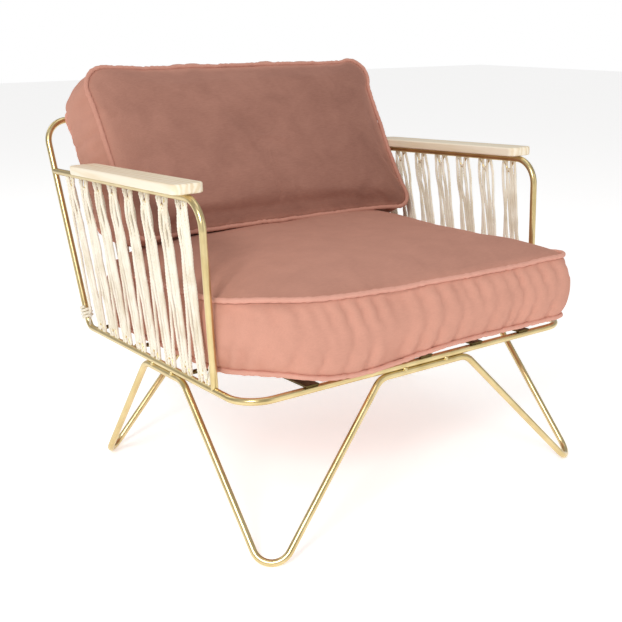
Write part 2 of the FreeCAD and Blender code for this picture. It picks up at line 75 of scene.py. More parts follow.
def grid_faces(rows, columns, loop_rows=False, loop_columns=False):
    """Corner numbers of the quads between neighbouring rows and columns."""
    r = np.arange(rows if loop_rows else rows - 1)
    c = np.arange(columns if loop_columns else columns - 1)
    r, c = np.meshgrid(r, c, indexing="ij")
    r2, c2 = (r + 1) % rows, (c + 1) % columns
    quads = [r * columns + c, r * columns + c2, r2 * columns + c2, r2 * columns + c]
    return np.stack(quads, -1).reshape(-1, 4)


def smooth_noise(points, scale, seed, octaves=2):
    """Soft hills and hollows between -1 and 1: sums of sine waves in seeded directions."""
    rng = np.random.default_rng(seed)
    total = np.zeros(len(points))
    for octave in range(octaves):
        for _ in range(5):
            way = rng.normal(size=3)
            way = way / np.linalg.norm(way)
            wave = 2 * math.pi * (1.7 ** octave) / scale
            total += np.sin(points @ way * wave + rng.uniform(0, 6.28)) / (5 * 1.6 ** octave)
    return total


def resample(path, step):
    """Points at an even spacing along a polyline."""
    path = np.asarray(path, float)
    length = np.concatenate([[0], np.cumsum(np.linalg.norm(np.diff(path, axis=0), axis=1))])
    count = max(int(length[-1] / step), 3)
    even = np.linspace(0, length[-1], count + 1)
    return np.stack([np.interp(even, length, path[:, k]) for k in range(3)], 1), length[-1]


def moving_frame(path, closed=False):
    """Two unit directions across the path at every point, carried along without twist."""
    if closed:
        ahead = np.roll(path, -1, 0) - np.roll(path, 1, 0)
    else:
        ahead = np.gradient(path, axis=0)
    ahead = ahead / np.linalg.norm(ahead, axis=1)[:, None]
    side = np.zeros_like(path)
    start = np.cross(ahead[0], [0.31, 0.2, 0.93])
    side[0] = start / np.linalg.norm(start)
    for k in range(1, len(path)):
        s = side[k - 1] - ahead[k] * (side[k - 1] @ ahead[k])
        side[k] = s / np.linalg.norm(s)
    return ahead, side, np.cross(ahead, side)


def tube(path, radius, sides=8, closed=False, capped=True):
    """Points, quads and (along, round) pairs of a round tube. radius is one number or one a point."""
    path = np.asarray(path, float)
    _, side, other = moving_frame(path, closed)
    if closed:
        # close the carried frame: share the leftover turn evenly along the loop
        cos, sin = side[0] @ side[-1], side[0] @ other[-1]
        share = np.linspace(0, math.atan2(sin, cos), len(path), endpoint=False)[:, None]
        side, other = (side * np.cos(share) + other * np.sin(share),
                       other * np.cos(share) - side * np.sin(share))
    radius = np.broadcast_to(np.asarray(radius, float), (len(path),))[:, None, None]
    turn = np.linspace(0, 2 * math.pi, sides, endpoint=False)
    ring = (side[:, None, :] * np.cos(turn)[None, :, None]
            + other[:, None, :] * np.sin(turn)[None, :, None])
    points = (path[:, None, :] + ring * radius).reshape(-1, 3)
    quads = grid_faces(len(path), sides, loop_rows=closed, loop_columns=True)
    run = np.concatenate([[0], np.cumsum(np.linalg.norm(np.diff(path, axis=0), axis=1))])
    uv = np.stack([np.repeat(run, sides), np.tile(turn / (2 * math.pi), len(path))], 1)
    if capped and not closed:
        first, last = len(points), len(points) + 1
        points = np.vstack([points, path[0], path[-1]])
        uv = np.vstack([uv, [0, 0], [run[-1], 0]])
        k = np.arange(sides)
        n = (k + 1) % sides
        end = (len(path) - 1) * sides
        quads = np.vstack([quads, np.stack([n, k, np.full(sides, first), np.full(sides, first)], 1),
                           np.stack([end + k, end + n, np.full(sides, last), np.full(sides, last)], 1)])
    return points, quads, uv


def join_parts(parts):
    """One (points, faces, uv) from several, with triangles kept as triangles."""
    points, faces, uv, start = [], [], [], 0
    for p, q, u in parts:
        points.append(p)
        uv.append(u)
        for corners in (np.asarray(q) + start).tolist():
            faces.append(corners if corners[2] != corners[3] else corners[:3])
        start += len(p)
    return np.vstack(points), faces, np.vstack(uv)


def solid_piece(name, parts):
    """An object from tube parts."""
    return mesh_piece(name, *join_parts(parts))


# %% [markdown]
# ## Materials
#
# Each is a Principled surface with a little measured unevenness: brushed gold lacquer, the same
# gold darkened as painted shade for the bars under the seat, oiled ash, cotton, and velvet with
# a painted sheen at its edges and painted light and shade in its colour.

# %%
def rgb(code):
    """An sRGB hex colour as the linear values that a shader wants."""
    parts = [int(code[k:k + 2], 16) / 255 for k in (1, 3, 5)]
    return tuple(p / 12.92 if p <= 0.04045 else ((p + 0.055) / 1.055) ** 2.4 for p in parts) + (1.0,)


class Shader:
    """A material's node tree with short calls for adding nodes and links."""

    def __init__(self, name):
        self.material = bpy.data.materials.new(name)
        self.material.use_nodes = True
        self.tree = self.material.node_tree
        self.surface = self.tree.nodes["Principled BSDF"]

    def add(self, kind, inputs=None, **settings):
        """One node with its settings; an input given as (node, socket) is linked."""
        node = self.tree.nodes.new(kind)
        for key, value in settings.items():
            setattr(node, key, value)
        self.feed(node, inputs or {})
        return node

    def feed(self, node, inputs):
        for key, value in inputs.items():
            if isinstance(value, tuple) and len(value) == 2 and hasattr(value[0], "outputs"):
                self.tree.links.new(value[0].outputs[value[1]], node.inputs[key])
            else:
                node.inputs[key].default_value = value

    def place(self):
        return (self.add("ShaderNodeTexCoord"), "Object")

    def ramp(self, source, stops):
        """A colour ramp over a value: stops are (position, hex)."""
        node = self.add("ShaderNodeValToRGB", {"Fac": source})
        band = node.color_ramp
        while len(band.elements) < len(stops):
            band.elements.new(0.5)
        for element, (at, code) in zip(band.elements, stops):
            element.position = at
            element.color = rgb(code)
        return (node, "Color")

    def bump(self, height, distance, strength=1.0, normal=None):
        inputs = {"Height": height, "Distance": distance, "Strength": strength}
        if normal is not None:
            inputs["Normal"] = normal
        return (self.add("ShaderNodeBump", inputs), "Normal")


def gold_lacquer():
    s = Shader("gold lacquered steel")
    cloud = s.add("ShaderNodeTexNoise", {"Vector": s.place(), "Scale": 26.0, "Detail": 4.0})
    fine = s.add("ShaderNodeTexNoise", {"Vector": s.place(), "Scale": 420.0, "Detail": 2.0})
    tone = s.ramp((cloud, "Fac"), [(0.3, "#CDB780"), (0.7, "#E2CF9C")])
    rough = s.add("ShaderNodeMapRange", {"Value": (cloud, "Fac"), "To Min": 0.24, "To Max": 0.36})
    s.feed(s.surface, {"Base Color": tone, "Metallic": 1.0, "Roughness": (rough, "Result"),
                       "Coat Weight": 0.25, "Coat Roughness": 0.12,
                       "Normal": s.bump((fine, "Fac"), 0.00008, 0.5)})
    return s.material


def gold_in_painted_shade():
    # Painted shade: the seat strips and cross bars are the same gold lacquered steel, darkened here as if shaded
    # under the cushion.
    s = Shader("gold steel in painted shade")
    cloud = s.add("ShaderNodeTexNoise", {"Vector": s.place(), "Scale": 40.0, "Detail": 3.0})
    s.feed(s.surface, {"Base Color": s.ramp((cloud, "Fac"), [(0.3, "#4A3F24"), (0.7, "#6B5A34")]),
                       "Metallic": 1.0, "Roughness": 0.42})
    return s.material


def ash_wood():
    s = Shader("pale ash")
    where = s.add("ShaderNodeMapping", {"Vector": s.place(), "Scale": (1.0, 0.06, 1.0)})
    warp = s.add("ShaderNodeTexNoise", {"Vector": (where, "Vector"), "Scale": 22.0, "Detail": 3.0})
    rings = s.add("ShaderNodeTexWave", {"Vector": (where, "Vector"), "Scale": 34.0, "Distortion": 7.0,
                                        "Detail": 3.0, "Detail Scale": 1.4},
                  wave_type="BANDS", bands_direction="X")
    pores = s.add("ShaderNodeMapping", {"Vector": s.place(), "Scale": (1400.0, 45.0, 1400.0)})
    fleck = s.add("ShaderNodeTexNoise", {"Vector": (pores, "Vector"), "Scale": 1.0, "Detail": 2.0})
    grain = s.add("ShaderNodeMath", {0: (rings, "Fac"), 1: (warp, "Fac")}, operation="MULTIPLY")
    tone = s.ramp((grain, "Value"), [(0.05, "#F4E9D4"), (0.35, "#EDDEC1"), (0.75, "#DCC6A2")])
    rough = s.add("ShaderNodeMapRange", {"Value": (fleck, "Fac"), "To Min": 0.38, "To Max": 0.56})
    s.feed(s.surface, {"Base Color": tone, "Roughness": (rough, "Result"),
                       "Normal": s.bump((fleck, "Fac"), 0.00012, 0.5)})
    return s.material


def cotton(name, pale="#F5EFE0", deep="#E4DAC4"):
    s = Shader(name)
    fuzz = s.add("ShaderNodeTexNoise", {"Vector": s.place(), "Scale": 900.0, "Detail": 3.0})
    age = s.add("ShaderNodeTexNoise", {"Vector": s.place(), "Scale": 30.0, "Detail": 2.0})
    s.feed(s.surface, {"Base Color": s.ramp((age, "Fac"), [(0.3, deep), (0.6, pale)]),
                       "Roughness": 0.92, "Sheen Weight": 0.3, "Sheen Roughness": 0.5,
                       "Normal": s.bump((fuzz, "Fac"), 0.0006, 0.7)})
    return s.material


def velvet(name, deep, mid, pale, painted_sheen_strength=0.3):
    """Velvet whose colour carries painted light and shade: a painted sheen makes it paler where it is
    seen edge on, and a per-point attribute from 0 (painted shade) to 1 (painted light) sets its tone."""
    s = Shader(name)
    where = s.place()
    # per-point painted light and shade, 0 for shade and 1 for lit
    painted_light = s.add("ShaderNodeAttribute", attribute_name="painted_light", attribute_type="GEOMETRY")
    brushed = s.add("ShaderNodeTexNoise", {"Vector": where, "Scale": 16.0, "Detail": 6.0,
                                           "Roughness": 0.62, "Distortion": 0.4})
    lines = s.add("ShaderNodeMapping", {"Vector": where, "Scale": (90.0, 700.0, 700.0)})
    weave = s.add("ShaderNodeTexNoise", {"Vector": (lines, "Vector"), "Scale": 1.0, "Detail": 2.0})
    pile = s.add("ShaderNodeTexNoise", {"Vector": where, "Scale": 1500.0, "Detail": 2.0})
    crease = s.add("ShaderNodeTexNoise", {"Vector": where, "Scale": 30.0, "Detail": 4.0,
                                          "Distortion": 0.8})
    cloud = s.add("ShaderNodeMapRange", {"Value": (brushed, "Fac"), "From Min": 0.3, "From Max": 0.7,
                                         "To Min": -0.075, "To Max": 0.075})
    thread = s.add("ShaderNodeMapRange", {"Value": (weave, "Fac"), "From Min": 0.3, "From Max": 0.7,
                                          "To Min": -0.04, "To Max": 0.04})
    both = s.add("ShaderNodeMath", {0: (cloud, "Result"), 1: (thread, "Result")}, operation="ADD")
    # painted light and shade plus random tone
    painted_light_and_tone = s.add("ShaderNodeMath", {0: (painted_light, "Fac"), 1: (both, "Value")}, operation="ADD")
    tone = s.ramp((painted_light_and_tone, "Value"), [(0.0, deep), (0.5, mid), (1.0, pale)])
    # painted sheen: the base colour turns to the pale colour where the surface is seen edge on
    facing = s.add("ShaderNodeLayerWeight", {"Blend": 0.3})
    edge = s.add("ShaderNodeMath", {0: (facing, "Facing"), 1: painted_sheen_strength}, operation="MULTIPLY")
    rim = s.add("ShaderNodeMix", {"Factor": (edge, "Value"), 6: tone, 7: rgb(pale)}, data_type="RGBA")
    low = s.bump((crease, "Fac"), 0.0014, 0.4)
    s.feed(s.surface, {"Base Color": (rim, 2), "Roughness": 0.85,
                       "Sheen Weight": 0.28, "Sheen Roughness": 0.4, "Sheen Tint": rgb(pale),
                       "Specular IOR Level": 0.12,
                       "Normal": s.bump((pile, "Fac"), 0.0004, 0.35, low)})
    return s.material


def set_painted_light(piece, value):
    """Stores painted light and shade at each point, from 0 (painted shade) to 1 (painted light)."""
    layer = piece.data.attributes.get("painted_light") or piece.data.attributes.new("painted_light", "FLOAT", "POINT")
    count = len(piece.data.vertices)
    layer.data.foreach_set("value", np.broadcast_to(value, (count,)).astype(np.float32))


GOLD = gold_lacquer()
SHADED_GOLD = gold_in_painted_shade()
ASH = ash_wood()
COTTON = cotton("cotton cord")
VELVET = velvet("dusty pink velvet", "#7C554A", "#B18171", "#D69D8A")
# The piping's velvet is the cushion velvet painted lighter, painted light on the raised cord.
LIT_PIPING_VELVET = velvet("velvet piping", "#A06E61", "#C79180", "#E6AE9D")


def paint(piece, material):
    """One material on a piece."""
    piece.data.materials.clear()
    piece.data.materials.append(material)
    return piece


for name, node in NODES.items():
    if name.startswith("armrest"):
        paint(node, ASH)
    # the bars under the seat get the gold in painted shade
    elif name.startswith(("cross_bar", "seat_strip")):
        paint(node, SHADED_GOLD)
    elif not name.startswith(("lacing", "seat_", "back_")):
        paint(node, GOLD)
print("materials:", [m.name for m in (GOLD, SHADED_GOLD, ASH, COTTON, VELVET, LIT_PIPING_VELVET)])

# %% [markdown]
# ## Where the hooks are
#
# The wire hooks are in the CAD frame. Each is a loose part of its node's mesh,
# so gathering the vertices in groups along one axis finds them one by one.

# %%
def hook_spots(node, axis, tip):
    """Middles of the hooks of a node in order along axis; tip takes the low or high end."""
    points = np.array([v.co for v in NODES[node].data.vertices], float)
    order = points[np.argsort(points[:, axis])]
    gaps = np.where(np.diff(order[:, axis]) > 0.004)[0] + 1
    spots = []
    for group in np.split(order, gaps):
        middle = (group.min(0) + group.max(0)) / 2
        end = group[group[:, 2].argmin() if tip == "low" else group[:, 2].argmax()]
        spots.append(np.array([middle[0], middle[1], end[2]]) if axis == 1
                     else np.array([middle[0], end[1], end[2]]))
    return spots


HOOKS = {}
for side in ("left", "right"):
    HOOKS["upper_" + side] = hook_spots("upper_hooks_" + side, 1, "low")
    HOOKS["lower_" + side] = hook_spots("lower_hooks_" + side, 1, "high")
HOOKS["upper_back"] = hook_spots("upper_hooks_back", 0, "low")
HOOKS["lower_back"] = hook_spots("lower_hooks_back", 0, "high")
print("hooks:", {k: len(v) for k, v in HOOKS.items()})

# %% [markdown]
# ## Twisted cords
#
# A cord is three plies that wind round its centre line. The centre line goes
# down one side of each hook and up the other, so two strands hang from every
# hook and lean towards each other at the rail below.

# %%
def rounded_turn(centre, out, across, spread, drop, count=7):
    """Points of a U over a hook: out is the way the U bulges, across its width."""
    angle = np.linspace(0, math.pi, count)
    return [centre + across * (spread * math.cos(a)) + out * (drop * math.sin(a)) for a in angle]


def twisted(centre_line, cord_radius, pitch, name_seed, step=0.0028, plies=3):
    """Parts of the plies of a laid cord round its centre line."""
    line, _ = resample(centre_line, step)
    _, side, other = moving_frame(line)
    run = np.arange(len(line)) * step
    ply = cord_radius * 0.56
    parts = []
    for k in range(plies):
        turn = 2 * math.pi * (run / pitch + k / plies) + name_seed
        offset = (side * np.cos(turn)[:, None] + other * np.sin(turn)[:, None]) * (cord_radius - ply)
        parts.append(tube(line + offset, ply, sides=6))
    return parts


CORD_RADIUS = 0.0030
DROP = 0.0035
X = np.array([1.0, 0, 0])


def strand(top, low, side_top, side_low, crosses, back, out):
    """Points from a hook above to one below. A strand that crosses its partner starts on the
    partner's side of the hook and steps out of its way where they meet."""
    points = []
    for share in np.linspace(0.04, 0.96, 24):
        start = -side_top if crosses else side_top
        lean = start * (1 - share) * 0.0046 + side_low * share * 0.0040
        aside = 0.0033 * side_top * math.exp(-((share - 0.13) / 0.10) ** 2) if crosses else 0.0
        sag = 0.0012 * math.sin(math.pi * share) * side_low
        points.append(top * (1 - share) + low * share + back * (lean + sag) + out * aside)
    return points


def side_cord(side, sign):
    """The cord of one side, rear to front, over and under the hooks in turn."""
    top = HOOKS["upper_" + side][::-1]
    low = HOOKS["lower_" + side][::-1]
    up = np.array([0, 0.047, 0.9989])
    back = np.array([0, 0.9989, -0.047])
    out = X * sign
    line = [low[0] + back * 0.045 + up * 0.02]
    start = low[0] + back * 0.040 + up * 0.02
    line += strand(top[0], start, 1, 0, False, back, out)[::-1]
    for k in range(len(top)):
        # the strands of the middle hooks cross once before they part
        here = 1 <= k < len(top) - 2
        line += rounded_turn(top[k] + up * 0.0005, up, back * (-1 if here else 1), 0.0048, 0.0055)
        line += strand(top[k], low[k], -1, 1, here, back, out)
        line += rounded_turn(low[k] - up * 0.0005, -up, back, 0.0048, 0.0055)
        if k + 1 < len(top):
            after = 1 <= k + 1 < len(top) - 2
            line += strand(top[k + 1], low[k], 1, -1, after, back, out)[::-1]
    line.append(low[-1] - back * 0.012 + up * 0.03)
    return line


def wander(line, seed, size=0.0006):
    """Hand-laid unevenness of a few tenths of a millimetre."""
    line, _ = resample(line, 0.006)
    rng = np.random.default_rng(seed)
    shift = rng.normal(size=line.shape)
    kernel = np.array([1, 2, 3, 2, 1]) / 9
    for k in range(3):
        shift[:, k] = np.convolve(shift[:, k], kernel, mode="same")
    return line + shift * size


def frayed_tail(start, way, seed, length=0.03, count=9):
    """A tuft of loose yarns at a cut end."""
    rng = np.random.default_rng(seed)
    parts = []
    for _ in range(count):
        bend = rng.normal(size=3) * 0.35
        t = np.linspace(0, 1, 9)[:, None]
        path = start + way * (t * length * rng.uniform(0.7, 1.1)) + bend * (t ** 2) * length * 0.6
        parts.append(tube(path, 0.0005 * (1.1 - 0.6 * t[:, 0]), sides=5))
    return parts


def knot(centre, axis, ring_radius, turns, seed):
    """Cord wound round a rod: a close helix of a few turns."""
    axis = axis / np.linalg.norm(axis)
    a = np.cross(axis, [0.2, 0.9, 0.1])
    a = a / np.linalg.norm(a)
    b = np.cross(axis, a)
    t = np.linspace(0, 2 * math.pi * turns, int(26 * turns))[:, None]
    path = centre + (a * np.cos(t) + b * np.sin(t)) * ring_radius + axis * (t / (2 * math.pi) * 0.0064)
    return twisted(path, CORD_RADIUS, 0.017, seed, step=0.002)


LACING = {}
for side, sign in (("left", -1), ("right", 1)):
    parts = twisted(wander(side_cord(side, sign), 5 + sign), CORD_RADIUS, 0.0165, 0.4)
    low_end = HOOKS["lower_" + side][0]
    parts += frayed_tail(low_end + np.array([sign * 0.004, -0.004, 0.004]), np.array([0, -0.35, 0.9]), 3 + sign)
    LACING[side] = solid_piece("cord_" + side, parts)
    lo, hi = (np.array(v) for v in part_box("lacing_knot_" + side))
    middle = (lo + hi) / 2
    lean = np.array([0, 0.294, 0.956])
    kp = knot(middle - lean * 0.0085, lean, 0.0093, 3.2, 1.0)
    kp += frayed_tail(middle + np.array([0, -0.010, 0.004]), np.array([sign * 0.2, -0.9, -0.35]), 21 + sign, 0.026)
    kp += frayed_tail(middle + np.array([0, -0.010, -0.006]), np.array([sign * 0.1, -0.5, -0.9]), 31 + sign, 0.022)
    LACING["knot_" + side] = solid_piece("knot_" + side, kp)


def back_cord():
    """The cord between the top rail and the rear bar: each strand leans to the next hook."""
    top, low = HOOKS["upper_back"], HOOKS["lower_back"]
    up = top[0] - low[0]
    up = np.array([0, up[1], up[2]]) / math.hypot(up[1], up[2])
    line = [low[0] - X * 0.012 + up * 0.06]
    line += rounded_turn(low[0] - up * 0.0005, -up, -X, 0.0048, 0.0055)
    for k in range(len(top)):
        line += rounded_turn(top[k] + up * 0.0005, up, -X, 0.0052, 0.0058)
        line += rounded_turn(low[k + 1] - up * 0.0005, -up, -X, 0.0048, 0.0055)
    line.append(low[-1] + X * 0.012 + up * 0.06)
    return line


LACING["back"] = solid_piece("cord_back", twisted(wander(back_cord(), 9), CORD_RADIUS, 0.0165, 0.1, 0.0034))
for key, piece in LACING.items():
    paint(piece, COTTON)
    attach(piece, "frame")
    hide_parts(("lacing_" + key) if key.startswith("knot") else "lacing_cord_" + key)
print("cord pieces:", [p.name for p in LACING.values()])

# %% [markdown]
# ## The cushions
#
# A cushion is a closed form laid out as a belt and two caps. Its plan is a
# rounded rectangle whose sides pull in between the corners. The belt is the
# boxing; the caps rise to a crown. Small gathers run up and down the boxing
# where the piping draws the cloth in.

# %%
def plan_loop(width, depth, radii, count, bow):
    """Points round a rounded rectangle. radii are for corners (+x+y, -x+y, -x-y, +x-y); sides bow in."""
    hw, hd = width / 2, depth / 2
    signs = [(1, 1), (-1, 1), (-1, -1), (1, -1)]
    path = []
    for k, ((sx, sy), r) in enumerate(zip(signs, radii)):
        start = math.pi / 2 * k
        angle = np.linspace(start, start + math.pi / 2, 14)
        path += [(sx * (hw - r) + r * math.cos(a), sy * (hd - r) + r * math.sin(a), 0) for a in angle]
    path.append(path[0])
    loop, _ = resample(path, 0.0005)
    loop, _ = resample(loop, np.linalg.norm(np.diff(loop, axis=0), axis=1).sum() / count)
    loop = loop[:count, :2]
    x, y = loop[:, 0] / hw, loop[:, 1] / hd
    pull_x = bow * (1 - np.clip(np.abs(y), 0, 1) ** 2) * np.clip(np.abs(x), 0, 1) ** 6
    pull_y = bow * (1 - np.clip(np.abs(x), 0, 1) ** 2) * np.clip(np.abs(y), 0, 1) ** 6
    return np.stack([loop[:, 0] - np.sign(x) * pull_x, loop[:, 1] - np.sign(y) * pull_y], 1)


def gathers(count, seed, fine):
    """Depth of the folds round the boxing, between -1 and 1: seeded waves of several widths."""
    rng = np.random.default_rng(seed)
    t = np.linspace(0, 1, count, endpoint=False)
    fold = np.zeros(count)
    for k in range(10):
        waves = int(rng.integers(fine // 4, fine))
        fold += np.sin(2 * math.pi * (waves * t + rng.uniform())) * rng.uniform(0.4, 1)
    # folds come in groups
    group = 0.5 + 0.5 * np.sin(2 * math.pi * (5 * t + 0.1)) * np.sin(2 * math.pi * (3 * t + 0.4))
    fold = fold / 3.2
    # creases are narrow and the cloth between them is round
    fold = 1 - 2 * np.exp(-(fold / 0.32) ** 2)
    return fold * (0.35 + 0.65 * group)


def padded_form(width, depth, height, radii, crown, foot, bulge, bow, seed, fine=70, pleat=0.0052, full=4.5,
                around=300, caps=34, belt=17):
    """Rows from the middle of the underside, up the boxing, to the middle of the top.

    In words: a row of the belt is the plan loop pushed out by a half sine of the height;
    a row of a cap is the plan loop shrunk towards the middle, lifted by crown times one
    minus the shrink to the fourth. Returns local points (z from 0 to height) and the seams.
    """
    loop = plan_loop(width, depth, radii, around, bow)
    ahead = np.roll(loop, -1, 0) - np.roll(loop, 1, 0)
    out = np.stack([ahead[:, 1], -ahead[:, 0]], 1) / np.linalg.norm(ahead, axis=1)[:, None]
    # creases start at either seam and die out towards the other, a little aslant
    from_low = gathers(around, seed + 100, fine)
    from_high = gathers(around, seed, fine)
    fold = from_high
    rows = []
    share = np.linspace(0.02, 1, caps)
    for s in share[:-1]:
        rows.append((loop * s, np.full(around, -foot * (1 - s ** 4))))
    low_seam = len(rows)
    for v in np.linspace(0, 1, belt):
        lift = math.sin(math.pi * v)
        near_low = math.exp(-((v / 0.42) ** 2))
        near_high = math.exp(-(((1 - v) / 0.42) ** 2))
        slant = int(round(4 * v))
        crease = np.roll(from_low, slant) * near_low + np.roll(from_high, -slant) * near_high
        push = bulge * lift + pleat * 1.35 * crease * min(1, 7 * v, 7 * (1 - v))
        rows.append((loop + out * (push[:, None] if np.ndim(push) else push), np.full(around, height * v)))
    high_seam = len(rows) - 1
    for s in share[::-1][1:]:
        edge = math.exp(-(((1 - s) / 0.05) ** 2))
        rise = crown * (1 - s ** full) + 0.0022 * fold * edge * (1 - s) * 24
        rows.append((loop * s, height + rise))
    points = np.stack([np.column_stack([xy, np.broadcast_to(z, (around,))]) for xy, z in rows])
    return points, low_seam, high_seam


def close_form(points):
    """Faces of the rows, with a fan at each pole."""
    rows, around = points.shape[:2]
    flat = points.reshape(-1, 3)
    quads = grid_faces(rows, around, loop_columns=True)
    k = np.arange(around)
    n = (k + 1) % around
    last = (rows - 1) * around
    bottom = len(flat)
    flat = np.vstack([flat, points[0].mean(0), points[-1].mean(0)])
    fan_a = np.stack([n, k, np.full(around, bottom)], 1).tolist()
    fan_b = np.stack([last + k, last + n, np.full(around, bottom + 1)], 1).tolist()
    return flat, quads.tolist() + fan_a + fan_b


def cloth_settle(piece, cap, pressure=4.0, frames=16):
    """Lets the cover find its shape under the filling's pressure, moving no point over cap."""
    start = np.zeros(len(piece.data.vertices) * 3)
    piece.data.vertices.foreach_get("co", start)
    cloth = piece.modifiers.new("cover", "CLOTH")
    cloth.settings.use_pressure = True
    cloth.settings.uniform_pressure_force = pressure
    cloth.settings.effector_weights.gravity = 0
    cloth.settings.quality = 4
    cloth.settings.tension_stiffness = 22
    cloth.settings.compression_stiffness = 6
    cloth.settings.bending_stiffness = 0.35
    cloth.point_cache.frame_start = 1
    cloth.point_cache.frame_end = frames
    scene = bpy.context.scene
    for f in range(1, frames + 1):
        scene.frame_set(f)
    view = piece.evaluated_get(bpy.context.evaluated_depsgraph_get()).data
    moved = np.zeros(len(view.vertices) * 3)
    view.vertices.foreach_get("co", moved)
    piece.modifiers.remove(cloth)
    scene.frame_set(1)
    start, moved = start.reshape(-1, 3), moved.reshape(-1, 3)
    step = moved - start
    step -= step.mean(0)
    size = np.linalg.norm(step, axis=1)[:, None]
    step = step * np.minimum(1, cap / np.maximum(size, 1e-9))
    return start + step


def into_row(points, origin, across, ahead, up):
    """Local points (across, ahead, up) placed in the row frame."""
    return origin + points @ np.stack([across, ahead, up])


# %% [markdown]
# ### Seat cushion
#
# It rests on the strips, so its underside is nearly flat, its right front
# corner is tight and its left front corner is slack and lifts a little.

# %%
SLOPE = math.radians(2.7)
UP = np.array([0, math.sin(SLOPE), math.cos(SLOPE)])
AHEAD = np.array([0, math.cos(SLOPE), -math.sin(SLOPE)])

seat_lo, seat_hi = (np.array(v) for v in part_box("seat_cushion"))
SEAT_DEPTH = (seat_hi[1] - seat_lo[1]) - 0.012
points, low_seam, high_seam = padded_form(
    0.668, SEAT_DEPTH, 0.112, (0.06, 0.06, 0.125, 0.034), crown=0.047, foot=0.010,
    bulge=0.013, bow=0.006, seed=11, fine=44, pleat=0.0066)
rows, around = points.shape[:2]
flat = points.reshape(-1, 3)
x, y, z = flat[:, 0] / 0.334, flat[:, 1] / (SEAT_DEPTH / 2), flat[:, 2]
front_left = np.clip(-x, 0, 1) ** 3 * np.clip(-y, 0, 1) ** 3
front_right = np.clip(x, 0, 1) ** 6 * np.clip(-y, 0, 1) ** 6
high = np.clip(z / 0.112, 0, 1.2)
flat[:, 2] += 0.024 * front_left * high + 0.030 * front_left * (1 - high)
# the underside hangs a little over the front, left of the middle
hang = np.exp(-((x + 0.42) / 0.38) ** 2) * np.clip(-y, 0, 1) ** 8
flat[:, 2] -= (0.016 * hang + 0.003 * np.clip(-y, 0, 1) ** 8) * (1 - np.clip(high, 0, 1))
flat[:, 0] += 0.014 * front_right
flat[:, 2] += 0.009 * np.clip(y, 0, 1) * np.clip((z - 0.112) * 60, 0, 1)
flat[:, 2] += 0.0035 * np.sin(x * 2.1 + 0.6) * np.sin(y * 1.7 + 0.3) * high
flat[:, 2] += smooth_noise(flat, 0.16, 4, 3) * 0.0016 * (high > 0.98)
SEAT_ORIGIN = np.array([0.0, (seat_lo[1] + seat_hi[1]) / 2 + 0.004, 0.0])
SEAT_ORIGIN[2] = seat_lo[2] + 0.0105 + 0.0135
placed = into_row(flat, SEAT_ORIGIN, X, AHEAD, UP).reshape(rows, around, 3)
SEAT_SEAMS = placed[low_seam], placed[high_seam]
body, faces = close_form(placed)
seat = mesh_piece("seat_cushion_velvet", body, faces)
print("seat cushion:", len(body), "points")

# %% [markdown]
# The cushion is held between the uprights and the corded sides, so its cover
# can't pass them. `held_in` presses it back where it would.

# %%
def held_in(points, limit, spill=None):
    """Keeps |x| under limit; spill gives each point more room, in metres."""
    room = limit if spill is None else limit + spill
    return np.stack([np.clip(points[:, 0], -room, room), points[:, 1], points[:, 2]], 1)


def vertices_of(piece):
    """All vertex places of a piece as an (n, 3) array."""
    co = np.zeros(len(piece.data.vertices) * 3)
    piece.data.vertices.foreach_get("co", co)
    return co.reshape(-1, 3)


def place_vertices(piece, points):
    piece.data.vertices.foreach_set("co", np.ascontiguousarray(points).ravel())
    piece.data.update()


place_vertices(seat, cloth_settle(seat, 0.007))
before_front = np.clip((-0.270 - vertices_of(seat)[:, 1]) * 1.2, 0, 0.03)
place_vertices(seat, held_in(vertices_of(seat), 0.3415, before_front))

# %% [markdown]
# ### Back cushion
#
# Its big faces lean back with the frame. The underside is cut shorter at the
# rear, because the cushion stands on the seat and not upright.

# %%
front_lo, front_hi = (np.array(v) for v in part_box("back_piping_front"))
rear_lo, rear_hi = (np.array(v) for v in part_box("back_piping_rear"))
LEAN = np.array([0, front_hi[1] - front_lo[1], front_hi[2] - front_lo[2]])
FACE = np.linalg.norm(LEAN) - 0.006
LEAN = LEAN / np.linalg.norm(LEAN)
TURN = math.radians(1.6)
BX = np.array([math.cos(TURN), -math.sin(TURN), 0])
OUTWARD = np.cross(BX, LEAN)
TOP_STEP = np.array([0, rear_hi[1] - front_hi[1], rear_hi[2] - front_hi[2]])
THICK = abs(TOP_STEP @ OUTWARD)
REAR_CUT = (np.array([0, rear_lo[1] - front_lo[1], rear_lo[2] - front_lo[2]])) @ LEAN
print("back cushion: face", round(FACE, 3), "thick", round(THICK, 3), "rear cut", round(REAR_CUT, 3))

points, low_seam_b, high_seam_b = padded_form(
    0.640, FACE + 0.020, THICK, (0.046, 0.046, 0.040, 0.034), crown=0.028, foot=0.004,
    bulge=0.012, bow=0.005, seed=23, fine=46, pleat=0.0062)
rows_b, around_b = points.shape[:2]
flat = points.reshape(-1, 3)
front_share = np.clip(flat[:, 2] / THICK, 0, 1)
reach = (FACE / 2 - flat[:, 1]) / FACE
flat[:, 1] += reach * REAR_CUT * (1 - front_share) * 0.9
flat[:, 2] += smooth_noise(flat, 0.17, 8, 3) * 0.0016 * (front_share > 0.99)
